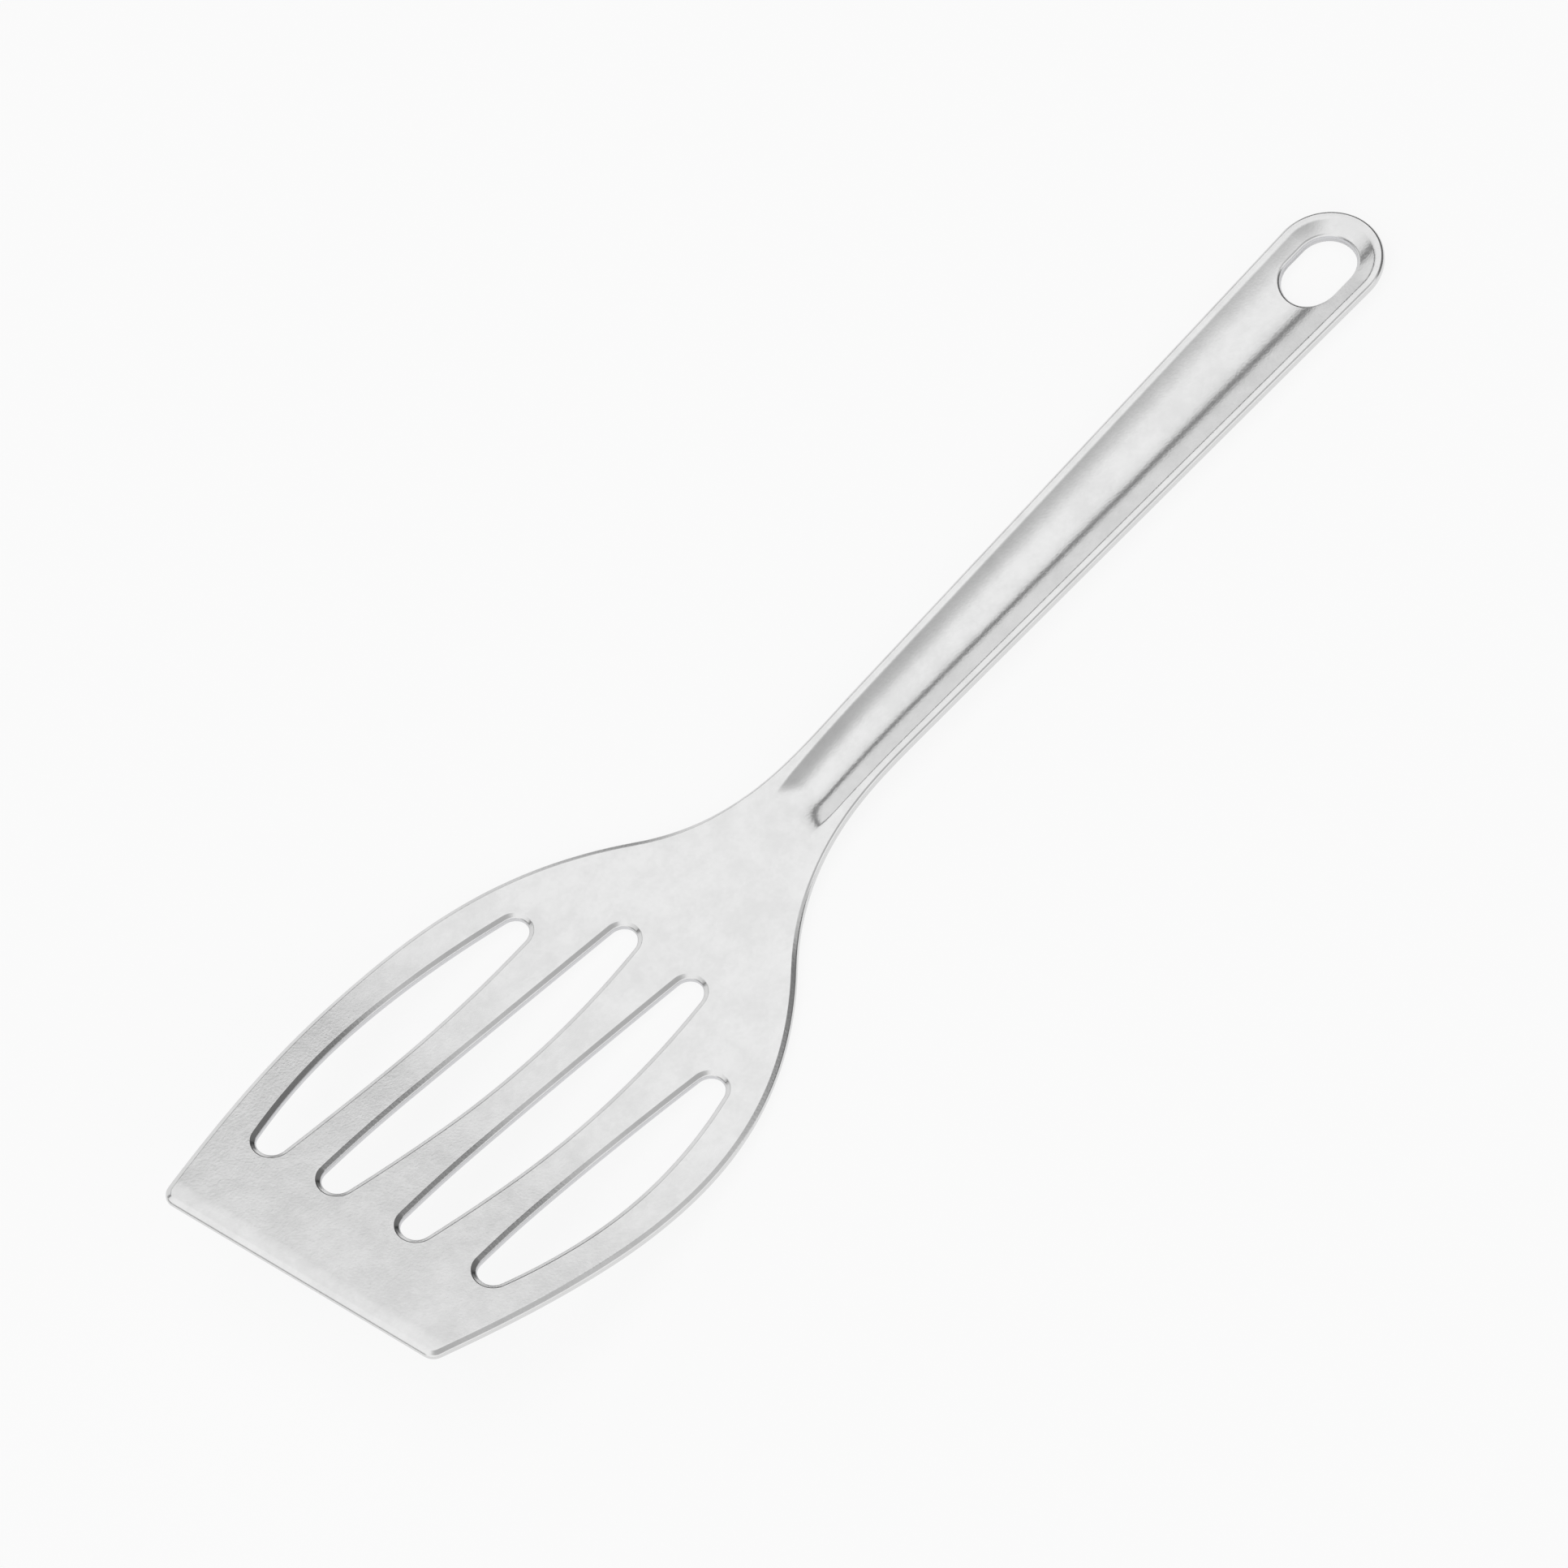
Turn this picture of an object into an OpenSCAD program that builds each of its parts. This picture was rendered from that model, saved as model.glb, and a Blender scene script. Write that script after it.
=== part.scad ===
// Slotted kitchen turner, pressed from one sheet of stainless steel.
// The sheet is drawn as the flat blank: x runs back from the front edge along the
// axis, y to the left and h is the height over the upper face. It is then formed:
// the blade stays flat in front, sweeps up over the heel and eases into the handle,
// where a trough is pressed down that flows into the blade through a rounded ramp.

/* [Sheet] */
// Thickness of the steel sheet
sheet_t = 2.3; // [1.6:0.1:3]
// Radius of the tumbled edges, round the outline, the slots and the hole
edge_r = 0.8; // [0.3:0.05:1.2]
// Thickness left at the edge of the ground front
front_edge_t = 2; // [1.7:0.05:2.2]
// Width of the ground band along the front edge
front_grind_w = 4; // [2.5:0.5:8]

/* [Blade] */
// Length of the blank from the front edge, on the axis, to the end of the handle
blank_l = 334.3; // [290:1:380]
// Greatest width of the blade
blade_w = 91.9; // [84:0.5:100]
// Distance from the front edge to the greatest width
blade_w_x = 65.8; // [56:1:75]
// Width of the blade at the front edge
front_w = 68.7; // [60:0.5:76]
// Angle at which the sides open out at the front edge
front_open = 16.4; // [10:0.5:22]
// Slant of the front edge from square
front_slant = 10.3; // [0:0.1:16]
// Radius of the two front corners
corner_r = 3.2; // [1.5:0.1:8]

/* [Neck] */
// Distance from the front edge to the steepest part of the shoulders
shoulder_x = 122.9; // [114:0.5:130]
// Width at the steepest part of the shoulders
shoulder_w = 48.9; // [42:0.5:56]
// Angle of the shoulders there
shoulder_deg = 42; // [34:0.5:48]

/* [Handle] */
// Distance from the front edge to the narrowest part of the handle
handle_x = 173.9; // [166:0.5:184]
// Width of the handle at its narrowest
handle_w = 18.9; // [17:0.1:24]
// Width of the handle at its round end
end_w = 25.4; // [22:0.1:32]

/* [Folds] */
// Length of the blade that stays flat
flat_l = 47.9; // [36:0.5:56]
// Radius of the upward sweep over the heel
heel_r = 226; // [180:1:260]
// Angle to which the heel lifts the sheet
heel_deg = 23.1; // [17:0.1:28]
// Length of the straight rise behind the heel
rise_l = 14.6; // [6:0.2:30]
// Radius of the bend that eases back to the handle
ease_r = 210; // [120:1:260]
// Angle of the handle over the flat of the blade
handle_deg = 16.3; // [12:0.1:22]

/* [Trough] */
// Distance from the front edge to the start of the trough
trough_x = 145.5; // [140:0.5:160]
// Length of the ramp down into the trough
ramp_l = 10; // [6:0.5:20]
// Width of the trough between its lips at its start
trough_w = 13.4; // [9:0.1:14.5]
// Depth of the trough behind the ramp
trough_d = 1.7; // [0.8:0.1:2.6]
// Depth of the trough at the round end
trough_end_d = 2; // [0.8:0.1:3]
// Width of the flat rim round the end of the trough
rim_w = 1.95; // [1.4:0.05:2.6]

/* [Slots] */
// Distance from the front edge to the nearer slot tips, on the axis
slot_front = 21.1; // [14:0.5:30]
// Width of the webs between the slots and beside the outer ones
web_w = 8.65; // [6.5:0.05:10]
// Greatest width of an inner slot
slot_w = 11.4; // [9:0.1:12.5]
// Width of a slot across its round tips
tip_w = 6.9; // [5:0.1:8]
// Distance from the front edge to the far tips of the inner slots
inner_far_x = 107.6; // [98:0.5:114]
// Distance from the front edge to the far tips of the outer slots
outer_far_x = 94.2; // [84:0.5:99]
// Distance of the outer slots' tips from the side edge
side_inset = 11.9; // [10.8:0.1:13]

/* [Hang hole] */
// Width of the hole across its straight sides
hole_w = 13.5; // [8:0.1:15]
// Length of the hole over its round ends
hole_l = 18.7; // [15.5:0.1:30]
// Distance from the end of the handle to the hole
hole_gap = 6.2; // [5.5:0.1:12]

/* [Hidden] */

// Rounding of an edge, never more than the thinnest edge can hold
er = min(edge_r, 0.45 * sheet_t, 0.45 * front_edge_t);
// Edge section as [distance in from the outline, drop from the face]
edge_section = [for (a = [0, 45, 90]) [er * (1 - cos(a)), er * (1 - sin(a))]];
end_r = end_w / 2;
end_x = blank_l - end_r;
front_drop = sheet_t - front_edge_t;
slant = tan(front_slant);

// ---- outline of the blank ----

// Cubic between two knots [x, half width, slope]
function knot_t(x, a, b) = (x - a[0]) / (b[0] - a[0]);
function cubic(x, a, b) =
    let (t = knot_t(x, a, b), l = b[0] - a[0])
    a[1] * (2 * t ^ 3 - 3 * t ^ 2 + 1) + a[2] * l * (t ^ 3 - 2 * t ^ 2 + t)
    + b[1] * (3 * t ^ 2 - 2 * t ^ 3) + b[2] * l * (t ^ 3 - t ^ 2);
function cubic_slope(x, a, b) =
    let (t = knot_t(x, a, b), l = b[0] - a[0])
    (a[1] - b[1]) * (6 * t ^ 2 - 6 * t) / l
    + a[2] * (3 * t ^ 2 - 4 * t + 1) + b[2] * (3 * t ^ 2 - 2 * t);

taper = (end_w - handle_w) / 2 / (end_x - handle_x);
front_knot = [0, front_w / 2, tan(front_open)];
wide_knot = [blade_w_x, blade_w / 2, 0];
shoulder_knot = [shoulder_x, shoulder_w / 2, -tan(shoulder_deg)];
handle_knot = [handle_x, handle_w / 2, taper];
// Half width of the blank at x, and its slope
function half_w(x) =
    x < 0 ? front_knot[1] + x * front_knot[2]
    : x < blade_w_x ? cubic(x, front_knot, wide_knot)
    : x < shoulder_x ? cubic(x, wide_knot, shoulder_knot)
    : x < handle_x ? cubic(x, shoulder_knot, handle_knot)
    : handle_knot[1] + (x - handle_x) * taper;
function half_slope(x) =
    x < 0 ? front_knot[2]
    : x < blade_w_x ? cubic_slope(x, front_knot, wide_knot)
    : x < shoulder_x ? cubic_slope(x, wide_knot, shoulder_knot)
    : x < handle_x ? cubic_slope(x, shoulder_knot, handle_knot)
    : taper;

function unit(v) = v / norm(v);
// Where the slanted front edge meets the side, k = 1 left, k = -1 right
function meet_x(k, x = 0, n = 8) = n == 0 ? x : meet_x(k, -slant * k * half_w(x), n - 1);
// Round corner as [point, outward normal], from the front edge to the side
function corner(k, steps = 4) =
    let (
        x = meet_x(k),
        q = [x, k * half_w(x)],
        a = unit([slant * k, -1] * k),
        b = unit([1, k * half_slope(x)]),
        half = acos(a * b) / 2,
        c = q + unit(a + b) * corner_r / sin(half),
        from = unit(q + a * corner_r / tan(half) - c),
        turn = 180 - 2 * half
    )
    [for (i = [0:steps])
        let (w = -k * turn * i / steps,
            n = [from[0] * cos(w) - from[1] * sin(w), from[0] * sin(w) + from[1] * cos(w)])
        [c + corner_r * n, n]];

function side_edge(x, k) = [[x, k * half_w(x)], unit([-half_slope(x), k])];
front_n = unit([-1, -slant]);

// ---- pressed form ----

// Half width, depth and ramp of the trough at x
function lip(x) = trough_w / 2 + (end_r - rim_w - trough_w / 2) * (x - trough_x) / (end_x - trough_x);
function ramp(x) = let (t = max(0, min(1, (x - trough_x) / ramp_l))) t * t * (3 - 2 * t);
function depth(x) =
    x <= trough_x ? 0
    : ramp(x) * (trough_d + (trough_end_d - trough_d) * (min(x, end_x) - trough_x) / (end_x - trough_x));
// Half width of the belly that the trough makes below, one sheet thickness away
function belly(x) = sqrt(lip(x) ^ 2 + 2 * sheet_t * depth(x));
// Distance from the floor line of the trough, which ends at the centre of the round end
function reach(p) = p[0] > end_x ? norm([p[0] - end_x, p[1]]) : abs(p[1]);
function dish(p, half) = let (x = min(p[0], end_x)) depth(x) * max(0, 1 - (reach(p) / half) ^ 2);
// Height of the upper face and of the underside at a point of the blank
function upper(p) =
    -dish(p, lip(min(p[0], end_x))) - front_drop * max(0, 1 + p * front_n / front_grind_w);
function under(p) = -sheet_t - dish(p, belly(min(p[0], end_x)));

// ---- folds ----

function arc_x(x0, r, a0, a1) = x0 + r * (sin(a1) - sin(a0));
function arc_z(z0, r, a0, a1) = z0 + r * (cos(a0) - cos(a1));
heel_end_p = [arc_x(flat_l, heel_r, 0, heel_deg), arc_z(0, heel_r, 0, heel_deg)];
ease_p = heel_end_p + rise_l * [cos(heel_deg), sin(heel_deg)];
function ease_at(a) = [arc_x(ease_p[0], -ease_r, heel_deg, a), arc_z(ease_p[1], -ease_r, heel_deg, a)];
// Point and angle of the formed upper face on the axis, at length x of the blank
function fold_angle(x) =
    x < flat_l ? 0
    : x < heel_end ? (x - flat_l) / heel_r * 180 / PI
    : x < ease_x ? heel_deg
    : x < ease_end ? heel_deg - (x - ease_x) / ease_r * 180 / PI
    : handle_deg;
function fold_point(x) =
    x < flat_l ? [x, 0]
    : x < heel_end ? let (a = fold_angle(x)) [arc_x(flat_l, heel_r, 0, a), arc_z(0, heel_r, 0, a)]
    : x < ease_x ? heel_end_p + (x - heel_end) * [cos(heel_deg), sin(heel_deg)]
    : x < ease_end ? ease_at(fold_angle(x))
    : ease_at(handle_deg) + (x - ease_end) * [cos(handle_deg), sin(handle_deg)];
// Forms a point of the blank p at height h over the upper face
function form(p, h) =
    let (o = fold_point(p[0]), a = fold_angle(p[0]))
    [o[0] - h * sin(a), p[1], o[1] + h * cos(a)];

// ---- openings of the blank ----

// Steps along the grid of the sheet: round a corner, round a slot's tip, along an inner
// and an outer slot, and round the near and the far end of the hole
corner_n = 4;
tip_n = 4;
in_n = 13;
out_n = 10;
near_n = 5;
far_n = 9;

// Sections across a leaf with round tips and bowed sides, from tip to tip, each as
// [left point, its normal, right point, its normal]. n and f are the tip centres, r
// their radius, left and right the bows of the two sides
function leaf(n, f, r, left, right, steps) =
    let (
        l = norm(f - n),
        u = (f - n) / l,
        v = [-u[1], u[0]],
        a = atan(4 * left / l),
        b = atan(4 * right / l),
        w = [for (i = [0:tip_n]) i / tip_n]
    )
    concat(
        [for (t = w)
            [each on_tip(n, r, u, v, 180 - t * (90 - a)), each on_tip(n, r, u, -v, 180 - t * (90 - b))]],
        [for (i = [1:steps - 1]) let (t = i / steps)
            [each on_bow(n, f, r, u, v, a, t), each on_bow(n, f, r, u, -v, b, t)]],
        [for (i = w) let (t = 1 - i)
            [each on_tip(f, r, u, v, t * (90 - a)), each on_tip(f, r, u, -v, t * (90 - b))]]
    );
function on_tip(c, r, u, v, w) = let (n = cos(w) * u + sin(w) * v) [c + r * n, n];
function on_bow(n, f, r, u, v, a, t) =
    let (
        p = n + r * (cos(a) * v - sin(a) * u),
        q = f + r * (cos(a) * v + sin(a) * u),
        w = atan(tan(a) * (1 - 2 * t))
    )
    [p + (q - p) * t + v * norm(q - p) * tan(a) * t * (1 - t), cos(w) * v - sin(w) * u];

tip_r = tip_w / 2;
inner_y = web_w / 2 + slot_w / 2;
inner_bow = (slot_w - tip_w) / 2;
function front_line(y) = slot_front - slant * y;
function inner_slot(k) =
    let (y = k * inner_y)
    leaf([front_line(y) + tip_r, y], [inner_far_x - tip_r, y], tip_r, inner_bow, inner_bow, in_n);
// The outer slots follow the sides of the blade one web away
outer_y = web_w / 2 + slot_w + web_w;
function near_x(k, x = 20, n = 8) =
    n == 0 ? x : near_x(k, front_line(k * (half_w(x) - side_inset)), n - 1);
function outer_slot(k) =
    let (
        x = near_x(k),
        n = [x + tip_r, k * (half_w(x) - side_inset)],
        f = [outer_far_x - tip_r, k * (half_w(outer_far_x) - side_inset)],
        mid = (n + f) / 2,
        in_bow = abs(mid[1]) - tip_r - outer_y,
        out_bow = half_w(mid[0]) - web_w - tip_r - abs(mid[1])
    )
    leaf(n, f, tip_r, k > 0 ? out_bow : in_bow, k > 0 ? in_bow : out_bow, out_n);
hole_r = hole_w / 2;
hole_far = blank_l - hole_gap - hole_r;
hole_near = hole_far - (hole_l - hole_w);

// ---- sheet ----

// The faces of the sheet are grids of stations from the front edge to the round end and
// of columns from the left side to the right. Columns in pairs bound an opening: the
// slots are 2-3, 5-6, 11-12 and 14-15, the hole is 8-9. Where there is no opening the
// two are one. In the trough the columns keep to shares of its half width.
cols = 18;
share = [1, 1, 0.82, 0.82, 0.62, 0.42, 0.42, 0.21, 0, 0, 0.21, 0.42, 0.42, 0.62, 0.82, 0.82, 1, 1];
near_i = corner_n + 3;
out_i = near_i + 2 * tip_n + out_n;
in_i = near_i + 2 * tip_n + in_n;
trough_i = in_i + 6;
function slot_i(c) = c < 4 || c > 13 ? out_i : in_i;
outer_slots = [outer_slot(1), outer_slot(-1)];
inner_slots = [inner_slot(1), inner_slot(-1)];
function slot_of(c) =
    c < 4 ? outer_slots[0] : c < 8 ? inner_slots[0] : c < 13 ? inner_slots[1] : outer_slots[1];

// Stations of the handle as [x, angle round the end, centre of the hole's arc, angle on it]
heel_end = flat_l + heel_r * heel_deg * PI / 180;
ease_x = heel_end + rise_l;
ease_end = ease_x + ease_r * (heel_deg - handle_deg) * PI / 180;
function span(a, b, n) = [for (i = [0:n - 1]) a + (b - a) * i / n];
handle_stations = concat(
    [for (x = concat(span(trough_x, trough_x + ramp_l, 6), span(trough_x + ramp_l, ease_end, 5),
        span(ease_end, hole_near - hole_r, 6))) [x, 90, x + hole_r, 180]],
    [for (w = span(180, 90, near_n)) [hole_near + hole_r * cos(w), 90, hole_near, w]],
    [[hole_near, 90, hole_near, 90]],
    [for (w = span(90, 0, far_n)) [end_x, w, hole_far, w]],
    [[end_x, 0, hole_far, 0]]
);
last_i = trough_i + len(handle_stations) - 1;
hole_i = last_i - far_n - 1 - near_n;

function mix(a, b, t) = a + (b - a) * t;
function side_of(c) = c < cols / 2 ? 1 : -1;
// Edge of the side at a station as [point, outward normal]
corners = [corner(1, corner_n), corner(-1, corner_n)];
function side_at(i, c) =
    let (
        k = side_of(c),
        s = k > 0 ? outer_slots[0] : outer_slots[1],
        m = k > 0 ? 0 : 2,
        arc = k > 0 ? corners[0] : corners[1]
    )
    i <= corner_n ? arc[i]
    : i < near_i ? side_edge(mix(arc[corner_n][0][0], s[0][0][0], (i - corner_n) / (near_i - corner_n)), k)
    : i <= out_i ? side_edge(s[i - near_i][m][0], k)
    : i < trough_i ? side_edge(mix(s[out_i - near_i][m][0], trough_x, (i - out_i) / (trough_i - out_i)), k)
    : let (h = handle_stations[i - trough_i], d = [cos(h[1]), k * sin(h[1])])
        h[1] == 90 ? side_edge(h[0], k) : [[end_x, 0] + end_r * d, d];
// Edge of an opening
function opening_at(i, c) =
    c == 8 || c == 9 ? let (h = handle_stations[i - trough_i], d = [cos(h[3]), side_of(c) * sin(h[3])])
        [[h[2], 0] + hole_r * d, -d]
    : let (s = slot_of(c)[i - near_i], m = c % 3 == 2 ? 0 : 2) [s[m], -s[m + 1]];
function inset(e) = e[0] - er * e[1];
function front_at(y) = [er / cos(front_slant) - slant * y, y];
// Point of the axis column in front of the trough
function axis_at(i) =
    let (
        j = min(max(i, near_i), in_i) - near_i,
        x = (inner_slots[0][j][2][0] + inner_slots[1][j][0][0]) / 2
    )
    [i < near_i ? mix(front_at(0)[0], x, i / near_i) : mix(x, trough_x, max(0, i - in_i) / (trough_i - in_i)), 0];
// Point of a slot's column, which runs on from its tips to the front edge and the trough
function slot_at(i, c) =
    let (
        j = min(max(i, near_i), slot_i(c)),
        p = inset(opening_at(j, c)),
        end = [trough_x, side_of(c) * share[c] * lip(trough_x)]
    )
    i < near_i ? mix(front_at(p[1]), p, i / near_i) : mix(p, end, (i - j) / (trough_i - j));
function blade_at(i, c) =
    c == 0 || c == cols - 1 ? inset(side_at(i, c))
    : c == 8 || c == 9 ? axis_at(i)
    : c % 3 == 1 && c < 9 || c % 3 == 1 && c > 9 ? (blade_at(i, c - 1) + blade_at(i, c + 1)) / 2
    : slot_at(i, c);
function handle_at(i, c, half) =
    let (
        h = handle_stations[i - trough_i],
        k = side_of(c),
        l = [h[0], 0] + half * [cos(h[1]), k * sin(h[1])],
        o = i >= hole_i ? inset(opening_at(i, k > 0 ? 8 : 9)) : [h[0], 0]
    )
    c == 0 || c == cols - 1 ? inset(side_at(i, c)) : mix(o, l, share[c]);
function half_at(i, top) = let (x = handle_stations[i - trough_i][0]) top ? lip(x) : belly(x);
function grid_at(i, c, top) = i < trough_i ? blade_at(i, c) : handle_at(i, c, half_at(i, top));
function face_grid(top) = [for (i = [0:last_i], c = [0:cols - 1])
    let (p = grid_at(i, c, top)) form(p, top ? upper(p) : under(p))];

// Index of a grid point: closed pairs of columns are one, and so are both sides at the end
function closed(i, c) =
    c == 9 ? i <= hole_i
    : c == 3 || c == 6 || c == 12 || c == 15 ? i <= near_i || i >= slot_i(c)
    : false;
function index_at(i, c) =
    let (d = i == last_i ? min(c, cols - 1 - c) : c)
    i * cols + (closed(i, d) ? d - 1 : d);

// Loops of the edges, each a list of [station, column] with the sheet on its right
front_cols = [16, 14, 13, 11, 10, 8, 7, 5, 4, 2, 1];
function opening_loop(c, a, b) =
    concat([for (i = [a:b]) [i, c + 1]], [for (i = [b - 1:-1:a + 1]) [i, c]]);
loops = [
    concat([for (i = [0:last_i]) [i, 0]], [for (i = [last_i - 1:-1:0]) [i, cols - 1]],
        [for (c = front_cols) [0, c]]),
    opening_loop(2, near_i, out_i),
    opening_loop(5, near_i, in_i),
    opening_loop(11, near_i, in_i),
    opening_loop(14, near_i, out_i),
    opening_loop(8, hole_i, last_i)
];
function edge_at(i, c) =
    c == 0 || c == cols - 1 ? side_at(i, c)
    : i == 0 ? [blade_at(i, c) + er * front_n, front_n]
    : opening_at(i, c);
// The rounded edge between the two faces, from the upper one to the lower
edge_levels = [
    [edge_section[1], true],
    [edge_section[0], true],
    [edge_section[0], false],
    [edge_section[1], false]
];
function edge_point(i, c, s, top) =
    let (e = edge_at(i, c), p = e[0] - s[0] * e[1])
    form(p, top ? upper(p) - s[1] : under(p) + s[1]);
edge_grids = [for (loop = loops) [for (l = edge_levels, g = loop) edge_point(g[0], g[1], l[0], l[1])]];

face_n = (last_i + 1) * cols;
sheet_points = concat(face_grid(true), face_grid(false), [for (g = edge_grids) each g]);
function start_of(k) = k == 0 ? 2 * face_n : start_of(k - 1) + len(edge_grids[k - 1]);
function edge_index(k, l, j) =
    let (loop = loops[k], m = j % len(loop))
    l == 0 ? index_at(loop[m][0], loop[m][1])
    : l == 5 ? face_n + index_at(loop[m][0], loop[m][1])
    : start_of(k) + (l - 1) * len(loop) + m;
// Two triangles of a cell, without those that close up to nothing
function cell(a, b, c, d) = concat(
    a == b || b == c || a == c ? [] : [[a, b, c]],
    a == c || c == d || a == d ? [] : [[a, c, d]]
);
open_cols = [2, 5, 8, 11, 14];
face_cells = [for (i = [0:last_i - 1], c = [0:cols - 2]) if (len(search(c, open_cols)) == 0)
    each cell(index_at(i, c), index_at(i + 1, c), index_at(i + 1, c + 1), index_at(i, c + 1))];
sheet_faces = concat(
    face_cells,
    [for (f = face_cells) [f[2] + face_n, f[1] + face_n, f[0] + face_n]],
    [for (k = [0:len(loops) - 1], l = [0:4], j = [0:len(loops[k]) - 1])
        each cell(edge_index(k, l, j), edge_index(k, l + 1, j), edge_index(k, l + 1, j + 1),
            edge_index(k, l, j + 1))]
);

// ---- rest ----

// Laid down, the turner tips back on its heel until the handle touches. The line from
// the heel's circle to each place of the trough's floor, up to the hole, gives its
// angle; the least counts.
heel_c = [flat_l, heel_r];
heel_out = heel_r + sheet_t;
function rest_angle(x) =
    let (p = form([x, 0], under([x, 0])), w = [p[0], p[2]] - heel_c)
    atan2(w[1], w[0]) + asin(heel_out / norm(w));
floor_far = hole_near - hole_r - er;
rest_tilt = min([for (i = [0:40]) rest_angle(ease_end + (floor_far - ease_end) * i / 40)]);
function rested(p) = [p[0] * cos(rest_tilt) + p[2] * sin(rest_tilt), p[1],
    p[2] * cos(rest_tilt) - p[0] * sin(rest_tilt)];
rested_points = [for (p = sheet_points) rested(p)];
rested_x = [for (p = rested_points) p[0]];
rested_z = [for (p = rested_points) p[2]];
rest_shift = [-(min(rested_x) + max(rested_x)) / 2, 0, -min(rested_z)];

// ---- turner ----

module turner() {
    color("#c8cacc")
    translate(rest_shift)
    rotate([0, rest_tilt, 0])
    polyhedron(points = sheet_points, faces = sheet_faces, convexity = 8);
}

turner();
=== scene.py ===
"""Slotted kitchen turner pressed from one sheet of stainless steel: looks, studio and camera."""

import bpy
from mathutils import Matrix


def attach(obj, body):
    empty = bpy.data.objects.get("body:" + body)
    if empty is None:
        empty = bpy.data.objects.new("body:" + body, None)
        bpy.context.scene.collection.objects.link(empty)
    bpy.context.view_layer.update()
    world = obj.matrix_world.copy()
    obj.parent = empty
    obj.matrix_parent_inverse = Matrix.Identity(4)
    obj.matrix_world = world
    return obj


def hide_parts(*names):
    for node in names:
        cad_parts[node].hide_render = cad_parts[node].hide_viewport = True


bl_info = {
    "name": "Slotted Turner",
    "version": (1, 0, 0),
    "blender": (4, 5, 0),
    "location": "View3D > Sidebar > Turner",
    "description": "Builds a pressed steel slotted turner, its finish and a plain studio",
    "category": "Add Mesh",
}

import math
from types import SimpleNamespace

import bpy
import numpy as np
from bpy.props import FloatProperty, FloatVectorProperty, PointerProperty
from mathutils import Matrix, Vector

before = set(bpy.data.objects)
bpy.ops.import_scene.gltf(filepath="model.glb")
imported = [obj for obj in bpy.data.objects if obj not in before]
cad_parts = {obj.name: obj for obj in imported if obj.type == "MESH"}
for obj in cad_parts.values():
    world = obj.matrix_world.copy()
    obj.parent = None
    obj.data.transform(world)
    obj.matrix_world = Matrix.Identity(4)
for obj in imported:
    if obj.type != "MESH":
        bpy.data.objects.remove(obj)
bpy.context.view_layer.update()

MM = 0.001
PIECE = "turner_sheet"
NODE = "turner"
# Azimuth of the middle of the unlit room, half the azimuth that it takes, and half the
# angle over which it fades at its sides
ROOM_MIDDLE = math.radians(6)
ROOM_HALF = math.radians(56)
ROOM_FADE = math.radians(11)
# Height in metres of the drawn dents, at full strength
DENT_HEIGHT = 4e-5
# Distance in mm on the axis from the reference point to the neck, where the camera's
# distance is taken, and from the reference point to the front edge
NECK_RUN = 120.0
AXIS_START = 10.27
# Width of the camera's sensor in mm, and how far the camera sees, in metres
SENSOR_WIDTH = 36.0
CLIP_END = 20.0
# Half the width of the floor and its depth under the turner, in metres
FLOOR_REACH = 6.0
FLOOR_DEPTH = 0.0002
# Rounds in which a place that depends on itself is found, and places along the handle at
# which the angle of rest is sought
ROUNDS = 8
REST_PLACES = 41
# Step in mm over which a slope is taken, and a length in mm that counts as none
PROBE = 0.01
TINY = 1e-6
# Points in the same cube of this side, in mm, are one point
WELD_CUBE = 1e-4
# Share of the ground band over which its start is rounded
GRIND_ROUND = 0.1
# Upright part of the normal at which a face starts to be a wall, and at which it is one; a wall
# takes a painted shade and its own roughness
WALL_STARTS, WALL_IS = 0.75, 0.45
# In half heights of the gap: its soft edge, the soft end of the light overhead and the way
# down over which the light below the gap fades
GAP_EDGE, LIGHT_END, SIDE_FADE = 0.4, 0.6, 6
# Share of its reach within which a dim patch has its full level
PATCH_CORE = 0.25


def from_hex(code):
    """Linear colour of an sRGB hex value: each channel c becomes ((c + 0.055) / 1.055) ** 2.4."""
    channels = [int(code[i:i + 2], 16) / 255 for i in (0, 2, 4)]
    return tuple(c / 12.92 if c <= 0.04045 else ((c + 0.055) / 1.055) ** 2.4 for c in channels)


def length(name, description, mm):
    return FloatProperty(name=name, description=description, default=mm * MM, min=0.0,
                         precision=5, subtype="DISTANCE", unit="LENGTH")


def angle(name, description, degrees):
    return FloatProperty(name=name, description=description, default=math.radians(degrees),
                         subtype="ANGLE", unit="ROTATION")


def share(name, description, value):
    return FloatProperty(name=name, description=description, default=value,
                         min=0.0, max=1.0, subtype="FACTOR")


# ---- what a user would change ----


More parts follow.
